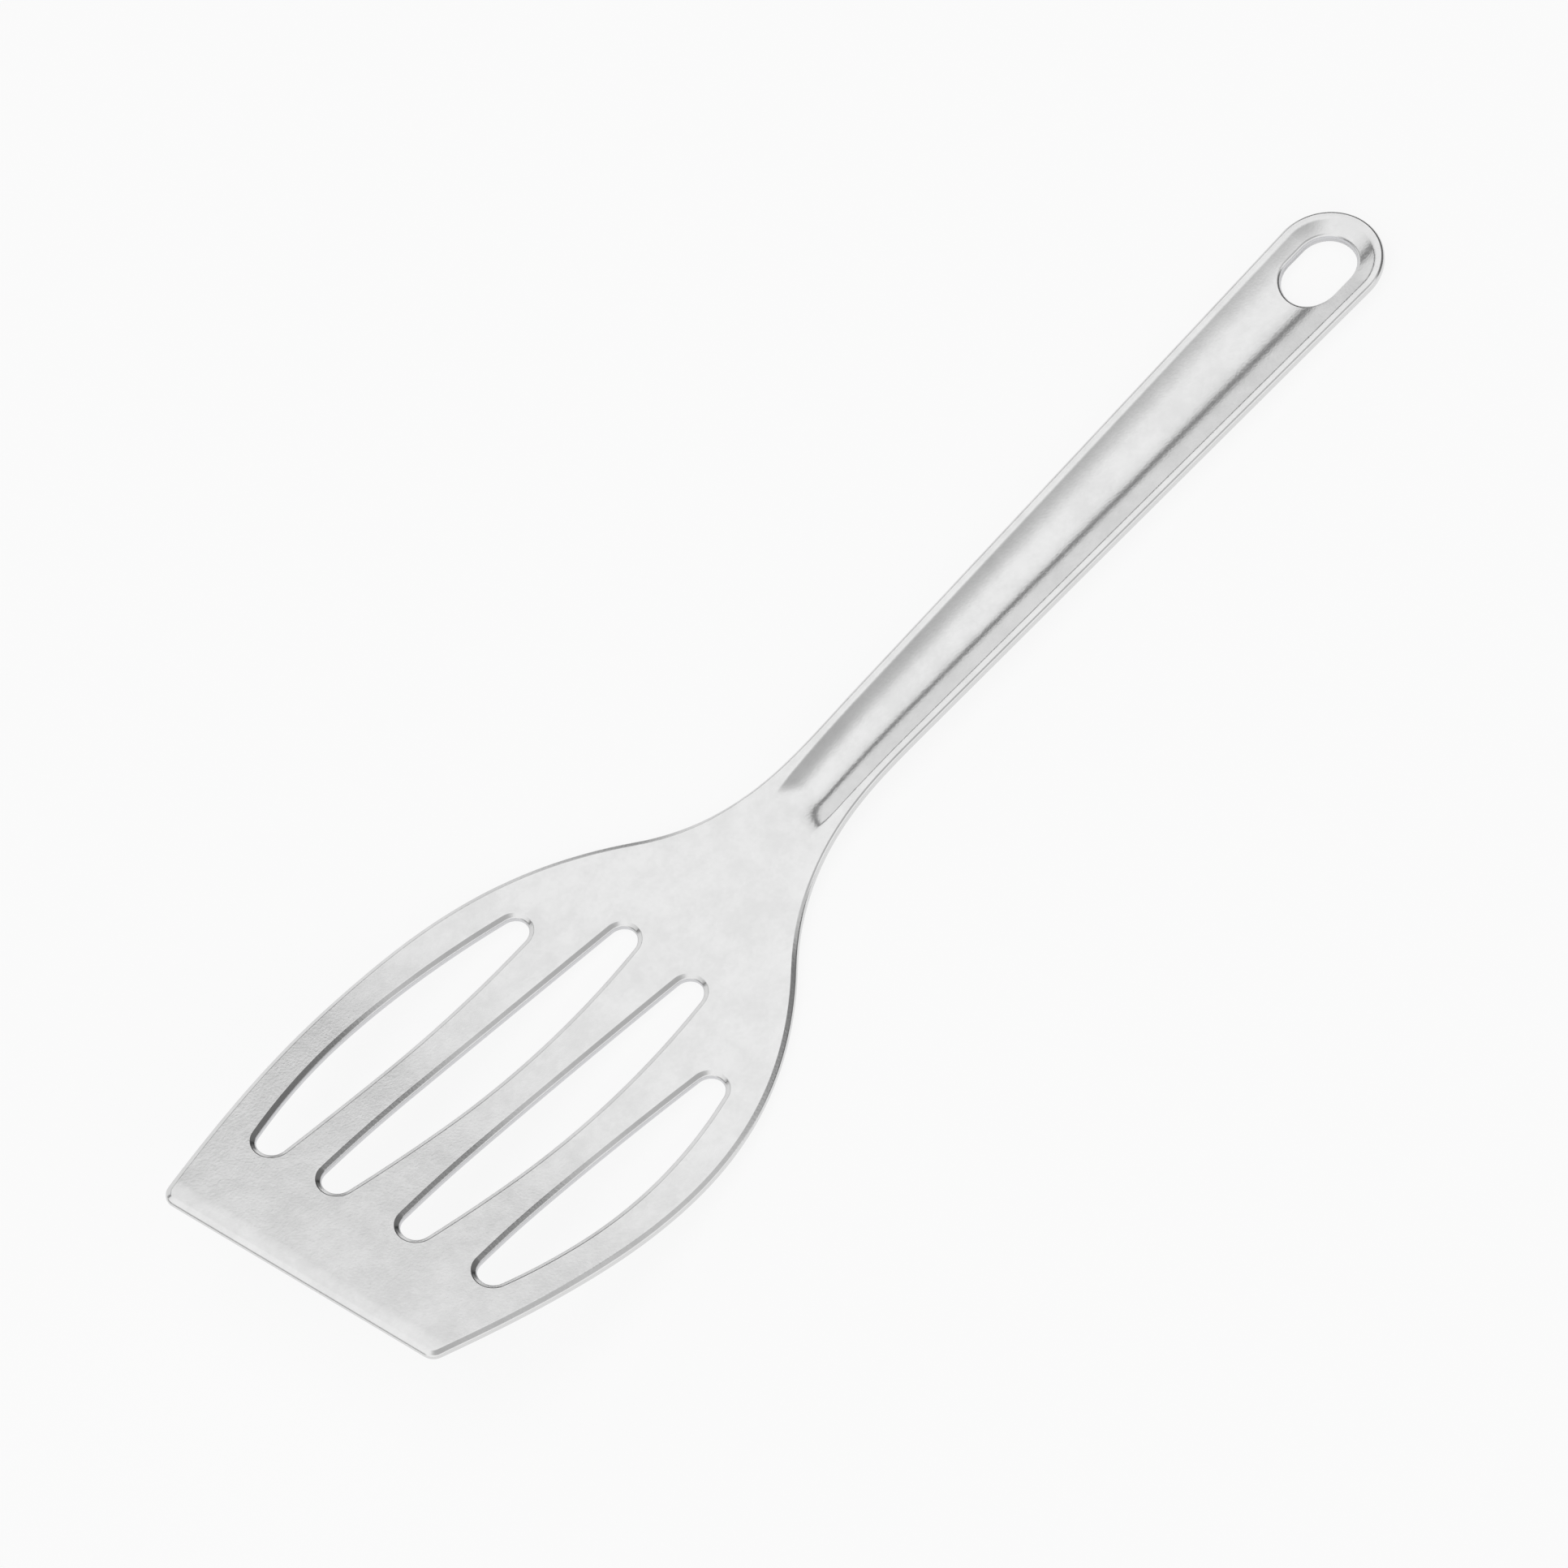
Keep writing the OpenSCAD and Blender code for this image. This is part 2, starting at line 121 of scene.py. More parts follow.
class TurnerSizes(bpy.types.PropertyGroup):
    """Sizes of the blank, its openings, folds and trough"""

    sheet: length("Sheet", "Thickness of the steel sheet", 2.3)
    edge: length("Edge radius", "Radius of the tumbled edges", 0.8)
    bevel_w: length("Bevel width", "Width of the bevel over the upper edges of the blade", 1.3)
    bevel_h: length("Bevel height", "Height of that bevel", 0.95)
    bevel_r: length("Bevel rounding", "Radius of the rounding at both ends of the bevel", 0.6)
    front_edge: length("Front edge", "Thickness left at the ground front edge", 2.0)
    grind: length("Ground band", "Width of the ground band along the front edge", 4.0)
    blank: length("Blank length", "Length of the flat blank on the axis", 334.3)
    blade: length("Blade width", "Greatest width of the blade", 91.9)
    blade_at: length("Widest at", "Distance from the front edge to the greatest width", 65.8)
    front: length("Front width", "Width of the blade at the front edge", 68.7)
    front_open: angle("Front opening", "Angle at which the sides open at the front edge", 16.4)
    front_slant: angle("Front slant", "Slant of the front edge from square", 10.3)
    corner: length("Corner radius", "Radius of the two front corners", 3.2)
    shoulder_at: length(
        "Shoulder at", "Distance from the front edge to the steepest shoulder", 122.9)
    shoulder: length("Shoulder width", "Width at the steepest part of the shoulders", 48.9)
    shoulder_angle: angle("Shoulder angle", "Angle of the shoulders there", 42.0)
    handle_at: length("Handle at", "Distance from the front edge to the narrowest handle", 173.9)
    handle: length("Handle width", "Width of the handle at its narrowest", 18.9)
    end: length("End width", "Width of the handle at its round end", 25.4)
    flat: length("Flat length", "Length of the blade that stays flat", 47.9)
    heel_radius: length("Heel radius", "Radius of the upward sweep over the heel", 226.0)
    heel_angle: angle("Heel angle", "Angle to which the heel lifts the sheet", 23.1)
    rise: length("Rise", "Length of the straight rise behind the heel", 14.6)
    ease_radius: length("Ease radius", "Radius of the bend back to the handle", 210.0)
    handle_angle: angle("Handle angle", "Angle of the handle over the flat of the blade", 16.3)
    trough_at: length(
        "Trough at", "Distance from the front edge to the start of the trough", 145.5)
    ramp: length("Ramp", "Length of the ramp down into the trough", 10.0)
    trough: length("Trough width", "Width of the trough between its lips at its start", 13.4)
    trough_depth: length("Trough depth", "Depth of the trough behind the ramp", 1.7)
    trough_end_depth: length("Trough end depth", "Depth of the trough at the round end", 2.0)
    rim: length("Rim", "Width of the flat rim round the end of the trough", 1.95)
    lip: length("Lip rounding", "Half width over which the lip of the trough is rounded", 0.45)
    slot_front: length("Slot front", "Distance from the front edge to the nearer slot tips", 21.1)
    web: length("Web", "Width of the webs between the slots", 8.65)
    slot: length("Slot width", "Greatest width of an inner slot", 11.4)
    tip: length("Tip width", "Width of a slot across its round tips", 6.9)
    inner_far: length(
        "Inner far tips", "Distance from the front edge to the inner slots' far tips", 107.6)
    outer_far: length(
        "Outer far tips", "Distance from the front edge to the outer slots' far tips", 94.2)
    side_inset: length("Side inset", "Distance of the outer slots' tips from the side edge", 11.9)
    hole: length("Hole width", "Width of the hang hole across its straight sides", 13.5)
    hole_long: length("Hole length", "Length of the hang hole over its round ends", 18.7)
    hole_gap: length("Hole gap", "Distance from the end of the handle to the hole", 6.2)


class TurnerFinish(bpy.types.PropertyGroup):
    """Colour and surface of the steel"""

    steel: FloatVectorProperty(name="Steel", description="Colour of the tumbled stainless steel",
                               default=from_hex("e6e6e6"), min=0.0, max=1.0, subtype="COLOR")
    # duller steel: the colour of the worn clouds, and also a painted shade on the walls of the
    # outline
    worn_steel_and_wall_shade: FloatVectorProperty(name="Duller steel",
                                    description="Colour in the duller patches",
                                    default=from_hex("dddddd"), min=0.0, max=1.0, subtype="COLOR")
    roughness: share("Roughness", "Mean roughness of the satin surface", 0.17)
    roughness_range: share(
        "Roughness range", "How far the roughness varies over the surface", 0.01)
    # punched walls: the colour is a painted shade for the shaded floor that they reflect
    punched: FloatVectorProperty(name="Punched walls", description="Colour of the punched walls",
                                 default=from_hex("d6d6d8"), min=0.0, max=1.0, subtype="COLOR")
    punched_roughness: share("Punched roughness", "Roughness of the punched walls", 0.35)
    grain: length("Grain", "Size at which the dents of the tumbling are drawn", 0.6)
    dent: share("Dent", "Strength of the dents", 0.4)
    patch: length("Patch", "Size of the duller and brighter clouds", 9.0)


class TurnerStudio(bpy.types.PropertyGroup):
    """Camera and light of the studio"""

    camera_distance: length(
        "Camera distance", "Distance of the camera from the plane through the neck", 1093.2)
    camera_tilt: angle(
        "Camera tilt", "Angle between the line of sight and the normal of the blade", 40.48)
    camera_turn: angle("Camera turn", "Angle of the turner's axis in the picture's plan", 44.98)
    camera_right: length(
        "Camera right", "Offset of the camera to the right of the reference point", 107.97)
    camera_up: length("Camera up", "Offset of the camera upwards from the reference point", 104.12)
    focal: length("Focal length", "Focal length on a 36 mm wide sensor", 118.15)
    light: FloatProperty(name="Light", description="Level of the brightest soft light",
                         default=1.06, min=0.0)
    side: share("Side light", "Level of the light below the gap, as a share", 0.84)
    dark: share("Dark side", "Level of the dark patch round the camera, as a share", 0.5)
    dark_azimuth: angle("Dark azimuth", "Azimuth of the dark patch", -75)
    dark_elevation: angle("Dark elevation", "Elevation of the dark patch", 62)
    dark_reach: angle("Dark reach", "Angle from the middle of the dark patch to its end", 36)
    ahead: share("Ahead", "Level of the dim patch ahead of the front edge, as a share", 0.62)
    ahead_azimuth: angle("Ahead azimuth", "Azimuth of the dim patch", 152)
    ahead_elevation: angle("Ahead elevation", "Elevation of the dim patch", 22)
    ahead_reach: angle("Ahead reach", "Angle from the middle of the dim patch to its end", 34)
    room: share("Room", "Level of the unlit room beside the light overhead, as a share", 0.17)
    room_azimuth: angle("Room azimuth", "Azimuth at which the end of the light is highest", -30)
    room_elevation: angle("Room elevation", "Greatest elevation of the end of the light", 59)
    gap: share("Gap", "Level in the gap under the overhead light, as a share", 0.06)
    gap_azimuth: angle("Gap azimuth", "Azimuth at which the gap is highest", 84)
    gap_elevation: angle("Gap elevation", "Greatest elevation of the gap", 42.5)
    gap_height: angle("Gap height", "Height of the gap", 6.5)
    floor: FloatVectorProperty(name="Floor", description="Colour of the pale floor",
                               default=from_hex("fafafa"), min=0.0, max=1.0, subtype="COLOR")
    floor_glow: share("Floor glow", "Share of the floor that shows as plain white", 0.85)


# ---- the blank and its pressed form, in millimetres ----


def in_mm(group):
    """The sizes as plain numbers: lengths in millimetres, angles in radians."""
    values = {}
    for name in group.__annotations__:
        unit = group.bl_rna.properties[name].unit
        values[name] = getattr(group, name) * (1 / MM if unit == "LENGTH" else 1)
    return SimpleNamespace(**values)


def mix(a, b, t):
    """The value at the share t of the way from a to b."""
    return a + (b - a) * t


def unit_rows(v):
    """Vectors scaled to the length 1."""
    return v / np.linalg.norm(v, axis=-1, keepdims=True)


class Blank:
    """The flat blank as functions of x, back from the front edge, and y, to the left,
    and the pressing that gives each of its points a place in space."""

    def __init__(self, s):
        self.s = s
        self.end_r = s.end / 2
        self.end_x = s.blank - self.end_r
        self.slant = math.tan(s.front_slant)
        self.front_n = np.array([-1.0, -self.slant]) / math.hypot(1, self.slant)
        self.taper = (s.end - s.handle) / 2 / (self.end_x - s.handle_at)
        self.knots = [
            (0.0, s.front / 2, math.tan(s.front_open)),
            (s.blade_at, s.blade / 2, 0.0),
            (s.shoulder_at, s.shoulder / 2, -math.tan(s.shoulder_angle)),
            (s.handle_at, s.handle / 2, self.taper),
        ]
        self.hole_r = s.hole / 2
        self.hole_far = s.blank - s.hole_gap - self.hole_r
        self.hole_near = self.hole_far - (s.hole_long - s.hole)
        self.heel_end = s.flat + s.heel_radius * s.heel_angle
        self.ease_at = self.heel_end + s.rise
        self.ease_end = self.ease_at + s.ease_radius * (s.heel_angle - s.handle_angle)

    def half_width(self, x):
        """Half width and its slope at x: cubics between knots with given widths and slopes,
        and straight lines before the first and after the last."""
        x = np.asarray(x, float)
        first, last = self.knots[0], self.knots[-1]
        value = np.where(x < 0, first[1] + x * first[2], last[1] + (x - last[0]) * last[2])
        slope = np.where(x < 0, first[2], last[2])
        for a, b in zip(self.knots, self.knots[1:]):
            span = b[0] - a[0]
            t = (x - a[0]) / span
            cubic = (a[1] * (2 * t**3 - 3 * t**2 + 1) + a[2] * span * (t**3 - 2 * t**2 + t)
                     + b[1] * (3 * t**2 - 2 * t**3) + b[2] * span * (t**3 - t**2))
            rate = ((a[1] - b[1]) * (6 * t**2 - 6 * t) / span
                    + a[2] * (3 * t**2 - 4 * t + 1) + b[2] * (3 * t**2 - 2 * t))
            inside = (x >= a[0]) & (x < b[0])
            value = np.where(inside, cubic, value)
            slope = np.where(inside, rate, slope)
        return value, slope

    def side(self, x, k):
        """Points and outward normals of the side edge at x, on the left for k = 1."""
        half, slope = self.half_width(x)
        points = np.stack([x, k * half], -1)
        normals = unit_rows(np.stack([-slope, np.full_like(half, k)], -1))
        return points, normals

    def corner(self, k, steps):
        """Round corner between the slanted front edge and a side, as points and normals on
        an arc that touches both."""
        x = 0.0
        for _ in range(ROUNDS):
            x = -self.slant * k * float(self.half_width(x)[0])
        half, slope = (float(v) for v in self.half_width(x))
        q = np.array([x, k * half])
        a = unit_rows(np.array([self.slant, -1.0]) * k)
        b = unit_rows(np.array([1.0, k * slope]))
        opening = math.acos(a @ b) / 2
        centre = q + unit_rows(a + b) * self.s.corner / math.sin(opening)
        start = unit_rows(q + a * self.s.corner / math.tan(opening) - centre)
        w = -k * (math.pi - 2 * opening) * np.linspace(0, 1, steps + 1)
        normals = np.stack([start[0] * np.cos(w) - start[1] * np.sin(w),
                            start[0] * np.sin(w) + start[1] * np.cos(w)], -1)
        return centre + self.s.corner * normals, normals

    def lip(self, x):
        """Half width of the trough between its lips at x, which grows evenly to the end."""
        s = self.s
        start, end = s.trough / 2, self.end_r - s.rim
        return start + (end - start) * (x - s.trough_at) / (self.end_x - s.trough_at)

    def depth(self, x):
        """Depth of the trough at x: a smooth ramp, then a steady deepening."""
        s = self.s
        t = np.clip((x - s.trough_at) / s.ramp, 0, 1)
        along = (np.minimum(x, self.end_x) - s.trough_at) / (self.end_x - s.trough_at)
        full = mix(s.trough_depth, s.trough_end_depth, along)
        return np.where(x <= s.trough_at, 0, t * t * (3 - 2 * t) * full)

    def belly(self, x):
        """Half width of the belly under the trough: the root of the squared lip and twice
        the sheet times the depth, so that the sheet keeps about its thickness."""
        return np.sqrt(self.lip(x)**2 + 2 * self.s.sheet * self.depth(x))

    def dish(self, p, half_at):
        """Drop of the face in the trough: a parabola across its width, whose lip is rounded
        by a short parabola that touches the rim and the wall."""
        x = np.minimum(p[..., 0], self.end_x)
        past = p[..., 0] - self.end_x
        reach = np.where(past > 0, np.hypot(past, p[..., 1]), np.abs(p[..., 1]))
        half, depth, w = half_at(x), self.depth(x), self.s.lip
        inside = half - reach
        wall = np.where(inside > w, inside, np.maximum(inside + w, 0)**2 / (4 * w))
        return depth * (2 * wall / half - (np.maximum(inside, 0) / half)**2)

    def edge_form(self, p, sign):
        """Width, height and rounding of the edge at p, of the upper face for sign = 1: a
        bevel on the blade that turns into a plain rounding over the neck, by a smooth step.
        The lower face has the plain rounding everywhere."""
        s = self.s
        t = np.clip((p[..., :1] - s.shoulder_at) / (s.trough_at - s.shoulder_at), 0, 1)
        t = t * t * (3 - 2 * t) if sign > 0 else np.ones_like(t)
        return [mix(size, s.edge, t) for size in (s.bevel_w, s.bevel_h, s.bevel_r)]

    def inset(self, points, normals, sign):
        """Points of an outline moved into the sheet by the width of its edge."""
        return points - self.edge_form(points, sign)[0] * normals

    def upper(self, p):
        """Height of the upper face: flat, less the trough and the ground front band."""
        s = self.s
        inset = 1 + (p @ self.front_n) / s.grind
        ground = (s.sheet - s.front_edge) * np.where(
            inset > GRIND_ROUND, inset,
            np.maximum(inset + GRIND_ROUND, 0)**2 / (4 * GRIND_ROUND))
        return -self.dish(p, self.lip) - ground

    def under(self, p):
        """Height of the lower face: one sheet below, less the belly."""
        return -self.s.sheet - self.dish(p, self.belly)

    def form(self, p, height):
        """Place of a blank point p at a height over the upper face: the face follows a
        straight, an upward arc, a straight, an arc back and a straight."""
        s = self.s
        x = p[..., 0]
        turn_up = np.clip((x - s.flat) / s.heel_radius, 0, s.heel_angle)
        ease = s.heel_angle - s.handle_angle
        turn = turn_up - np.clip((x - self.ease_at) / s.ease_radius, 0, ease)
        run = np.minimum(x, s.flat) + s.heel_radius * np.sin(turn_up)
        lift = s.heel_radius * (1 - np.cos(turn_up))
        rise = np.clip(x - self.heel_end, 0, s.rise)
        run, lift = run + rise * math.cos(s.heel_angle), lift + rise * math.sin(s.heel_angle)
        back = np.where(x > self.ease_at, turn, s.heel_angle)
        run = run + s.ease_radius * (math.sin(s.heel_angle) - np.sin(back))
        lift = lift + s.ease_radius * (np.cos(back) - math.cos(s.heel_angle))
        rest = np.maximum(x - self.ease_end, 0)
        run, lift = run + rest * math.cos(s.handle_angle), lift + rest * math.sin(s.handle_angle)
        return np.stack([run - height * np.sin(turn), p[..., 1], lift + height * np.cos(turn)], -1)

    def rest_angle(self):
        """Angle by which the turner tips back: a line from the heel's circle touches the
        floor of the trough, and the least angle along the handle counts."""
        s = self.s
        x = np.linspace(self.ease_end, self.hole_near - self.hole_r - s.edge, REST_PLACES)
        p = np.stack([x, np.zeros_like(x)], -1)
        floor = self.form(p, self.under(p))
        run, lift = floor[:, 0] - s.flat, floor[:, 2] - s.heel_radius
        heel = s.heel_radius + s.sheet
        return float(np.min(np.arctan2(lift, run) + np.arcsin(heel / np.hypot(run, lift))))


# ---- grid of the blank ----

# Steps of the grid: round a corner and on to the slots, round a slot tip, along the inner
# and the outer slots, on to the trough, down the ramp, along the handle, round the near
# end of the hole, along its straight sides and round the end of the handle
CORNER, LEAD, TIP, INNER, OUTER, JOIN = 10, 8, 12, 44, 36, 16
RAMP, HANDLE, HOLE_NEAR, HOLE_SIDE, HOLE_FAR = 16, 100, 14, 5, 30
# Steps across the three lanes of each half: side to outer slot, outer slot to inner slot,
# inner slot to the axis
LANES = (8, 8, 6)
# Shares of the turn of an edge's first rounding and of its second one
LOW_TURN = np.linspace(0, 1, 4)[:, None, None]
HIGH_TURN = np.linspace(0, 1, 5)[:, None, None]

NEAR = CORNER + LEAD
OUTER_END = NEAR + 2 * TIP + OUTER
INNER_END = NEAR + 2 * TIP + INNER
TROUGH = INNER_END + JOIN
HOLE_START = TROUGH + RAMP + HANDLE
COLUMN_STARTS = (0, LANES[0] + 1, LANES[0] + LANES[1] + 2)
COLUMNS = sum(LANES) + 3


def slot_walls(blank, near, far, bows, steps):
    """Left and right wall of a slot between the centres of its tips, each as points and
    normals out of the sheet: arcs round the tips and a parabola between them that bows
    by the given height. The near arc starts where the tip faces the front edge, the far
    one ends where it faces straight back."""
    radius = blank.s.tip / 2
    along = far - near
    span = np.linalg.norm(along)
    u = along / span
    left = np.array([-u[1], u[0]])
    start_lean, end_lean = math.asin(-blank.front_n @ left), math.asin(left[0])
    walls = []
    for side, bow in zip((1, -1), bows):
        v = side * left
        a = math.atan(4 * bow / span)
        near_w = np.linspace(math.pi + side * start_lean, math.pi / 2 + a, TIP + 1)
        far_w = np.linspace(math.pi / 2 - a, side * end_lean, TIP + 1)
        near_n = np.outer(np.cos(near_w), u) + np.outer(np.sin(near_w), v)
        far_n = np.outer(np.cos(far_w), u) + np.outer(np.sin(far_w), v)
        t = np.linspace(0, 1, steps + 1)[1:-1]
        p = near + radius * (math.cos(a) * v - math.sin(a) * u)
        q = far + radius * (math.cos(a) * v + math.sin(a) * u)
        rise = np.linalg.norm(q - p) * math.tan(a) * t * (1 - t)
        w = np.arctan(math.tan(a) * (1 - 2 * t))
        bow_p = p + np.outer(t, q - p) + np.outer(rise, v)
        bow_n = np.outer(np.cos(w), v) - np.outer(np.sin(w), u)
        points = np.concatenate([near + radius * near_n, bow_p, far + radius * far_n])
        walls.append((points, -np.concatenate([near_n, bow_n, far_n])))
    return walls


def inner_slot(blank, k):
    """Walls of the inner slot on side k: the one away from the axis, then the one at it."""
    s = blank.s
    y = k * (s.web + s.slot) / 2
    bow = (s.slot - s.tip) / 2
    near = np.array([s.slot_front - blank.slant * y + s.tip / 2, y])
    far = np.array([s.inner_far - s.tip / 2, y])
    return slot_walls(blank, near, far, (bow, bow), INNER)[::k]


def outer_slot(blank, k):
    """Walls of the outer slot on side k, which follows the side one web away: the wall
    towards the side, then the one towards the axis."""
    s = blank.s

    def at_side(x):
        return k * (float(blank.half_width(x)[0]) - s.side_inset)

    x = s.slot_front
    for _ in range(ROUNDS):
        x = s.slot_front - blank.slant * at_side(x)
    near = np.array([x + s.tip / 2, at_side(x)])
    far = np.array([s.outer_far - s.tip / 2, at_side(s.outer_far)])
    middle = (near + far) / 2
    inward = abs(middle[1]) - s.tip / 2 - (s.web / 2 + s.slot + s.web)
    outward = float(blank.half_width(middle[0])[0]) - s.web - s.tip / 2 - abs(middle[1])
    return slot_walls(blank, near, far, (outward, inward)[::k], OUTER)[::k]


def handle_stations(blank):
    """Stations of the handle as x of the sides, angle round the end, centre of the hole's
    arc and angle on it."""
    s, b = blank.s, blank
    reach = b.hole_r + s.edge
    x = np.concatenate([
        np.linspace(s.trough_at, s.trough_at + s.ramp, RAMP, endpoint=False),
        np.linspace(s.trough_at + s.ramp, b.hole_near - reach, HANDLE, endpoint=False),
    ])
    quarter = math.pi / 2
    near = np.linspace(math.pi, quarter, HOLE_NEAR, endpoint=False)
    side = np.linspace(0, 1, HOLE_SIDE, endpoint=False)
    far = np.linspace(quarter, 0, HOLE_FAR + 1)
    same = np.full_like
    rows = [
        (x, same(x, quarter), x + b.hole_r, same(x, math.pi)),
        (b.hole_near + reach * np.cos(near), same(near, quarter), same(near, b.hole_near), near),
        (mix(b.hole_near, b.end_x, side), same(side, quarter), mix(b.hole_near, b.hole_far, side),
         same(side, quarter)),
        (same(far, b.end_x), far, same(far, b.hole_far), far),
    ]
    return [np.concatenate(column) for column in zip(*rows)]


def side_edge(blank, k):
    """Side of the blank at all stations, as points and normals out of the sheet, and the
    share of the way from the front edge to the near tips at the first ones. Rows lean
    with the front edge up to the near tips and stand square at the far tips."""
    s, b = blank.s, blank
    arc, arc_n = b.corner(k, CORNER)
    wall_p, wall_n = outer_slot(b, k)[0]
    wall = b.inset(wall_p, wall_n, 1)
    row = np.arange(len(wall))
    lean = b.slant * (1 - np.clip((row - TIP) / OUTER, 0, 1))
    slot_x = wall[:, 0]
    for _ in range(ROUNDS):
        inner = b.inset(*b.side(slot_x, k), 1)
        slot_x = slot_x + wall[:, 0] - inner[:, 0] + lean * (wall[:, 1] - inner[:, 1])
    lead_x = np.linspace(arc[-1, 0], slot_x[0], LEAD + 1)[1:-1]
    back_x = np.linspace(slot_x[-1], s.trough_at, TROUGH - OUTER_END + 1)[1:-1]
    along, along_n = b.side(np.concatenate([lead_x, slot_x, back_x]), k)
    x, w, _, _ = handle_stations(b)
    ray = np.stack([np.cos(w), k * np.sin(w)], -1)
    straight, straight_n = b.side(x, k)
    round_end = (np.arange(len(x)) >= len(x) - HOLE_FAR - 1)[:, None]
    handle = np.where(round_end, np.array([b.end_x, 0]) + b.end_r * ray, straight)
    handle_n = np.where(round_end, ray, straight_n)
    points = np.concatenate([arc, along, handle])
    normals = np.concatenate([arc_n, along_n, handle_n])
    behind = -b.inset(points[:NEAR + 1], normals[:NEAR + 1], 1) @ b.front_n - s.bevel_w
    return points, normals, behind / behind[-1]


def blade_grid(blank, k, side, walls, trough_row, sign):
    """Blank points of one half of the blade up to the trough: rows of stations, columns
    from the side to the axis. Between the edges of the slots a column keeps its share of
    the way, and behind them the columns drift to their places in the trough's first row."""
    s = blank.s
    front_inset = blank.edge_form(np.zeros(2), sign)[0].item()
    station = np.arange(TROUGH + 1)
    points, normals, share_k = side
    _, _, share_other = side_edge(blank, -k)

    def at_front(y):
        return np.stack([-blank.slant * y, y], -1) - front_inset * blank.front_n

    edge = blank.inset(points[:TROUGH], normals[:TROUGH], sign)
    bounds = [np.concatenate([edge, trough_row[:1]])]
    ends = (OUTER_END, OUTER_END, INNER_END, INNER_END)
    columns = (LANES[0], COLUMN_STARTS[1], COLUMN_STARTS[1] + LANES[1], COLUMN_STARTS[2])
    for (wall, normal), end, column in zip(walls, ends, columns):
        rim = blank.inset(wall, normal, sign)
        lead = mix(at_front(wall[:1, 1]), rim[:1], share_k[:NEAR, None])
        join = mix(rim[-1], trough_row[column], (station[end + 1:, None] - end) / (TROUGH - end))
        bounds.append(np.concatenate([lead, rim, join]))
    beside = [blank.inset(*wall, sign)[:, 0] for wall in (walls[3], inner_slot(blank, -k)[1])]
    middle = sum(beside) / 2
    way = (share_k + share_other)[:NEAR, None] / 2
    lead = mix(at_front(np.zeros(1)), np.array([[middle[0], 0.0]]), way)
    join = mix(middle[-1], s.trough_at, (station[INNER_END + 1:] - INNER_END) / JOIN)
    axis_x = np.concatenate([middle, join])
    bounds.append(np.concatenate([lead, np.stack([axis_x, np.zeros_like(axis_x)], -1)]))
    lanes = [mix(one[:, None], two[:, None], np.linspace(0, 1, n + 1)[:, None])
             for one, two, n in zip(bounds[::2], bounds[1::2], LANES)]
    grid = np.concatenate(lanes, 1)
    drift = np.clip((station - INNER_END) / JOIN, 0, 1)[:, None, None]
    return grid + drift**2 * (trough_row - grid[-1:])


def handle_grid(blank, k, side, half_at):
    """Blank points of one half of the handle: columns at the edge, on the rim, through
    the rounded lip and then at shares of the way to the axis or the hole."""
    s, er = blank.s, blank.s.edge
    x, w, hole_x, hole_w = handle_stations(blank)
    ray = np.stack([np.cos(w), k * np.sin(w)], -1)
    base = np.stack([x, np.zeros_like(x)], -1)
    around = np.stack([np.cos(hole_w), k * np.sin(hole_w)], -1)
    open_here = (np.arange(len(x)) >= HOLE_START - TROUGH)[:, None]
    rim = np.stack([hole_x, np.zeros_like(hole_x)], -1) + (blank.hole_r + er) * around
    inner = np.where(open_here, rim, base)
    edge = (side[0] - er * side[1])[TROUGH:]
    lip = half_at(x)[:, None]
    rounded = [base + (lip + s.lip * q) * ray for q in (1, 1 / 3, -1 / 3, -1)]
    shares = np.linspace(0, 1, sum(LANES) - len(rounded))[1:]
    floor = [mix(rounded[-1], inner, t) for t in shares]
    columns = np.stack([edge, (edge + rounded[0]) / 2, *rounded, *floor], 1)
    starts = (0, LANES[0], LANES[0] + LANES[1])
    return np.concatenate([columns[:, a:a + n + 1] for a, n in zip(starts, LANES)], 1)


def half_sheet(blank, k):
    """One half of the sheet, left for k = 1: the upper and the lower grid of blank points,
    and its edges as {name: (points, normals)}."""
    side = side_edge(blank, k)
    walls = [*outer_slot(blank, k), *inner_slot(blank, k)]
    grids = []
    for half_at, sign in ((blank.lip, 1), (blank.belly, -1)):
        back = handle_grid(blank, k, side, half_at)
        front = blade_grid(blank, k, side, walls, back[0], sign)
        grids.append(np.concatenate([front[:-1], back]))
    _, _, hole_x, hole_w = (v[HOLE_START - TROUGH:] for v in handle_stations(blank))
    around = np.stack([np.cos(hole_w), k * np.sin(hole_w)], -1)
    hole = np.stack([hole_x, np.zeros_like(hole_x)], -1) + blank.hole_r * around
    names = ("outer_outer", "outer_inner", "inner_outer", "inner_inner")
    return grids, {"side": side[:2], **dict(zip(names, walls)), "hole": (hole, -around)}


# ---- mesh ----


def face_normals(blank, p, height, sign):
    """Normals of a formed face by differences of the form over a small step in x and y."""
    dx, dy = np.array([PROBE, 0.0]), np.array([0.0, PROBE])

    def place(q):
        return blank.form(q, height(q))

    tx = place(p + dx) - place(p - dx)
    ty = place(p + dy) - place(p - dy)
    return sign * unit_rows(np.cross(tx, ty))


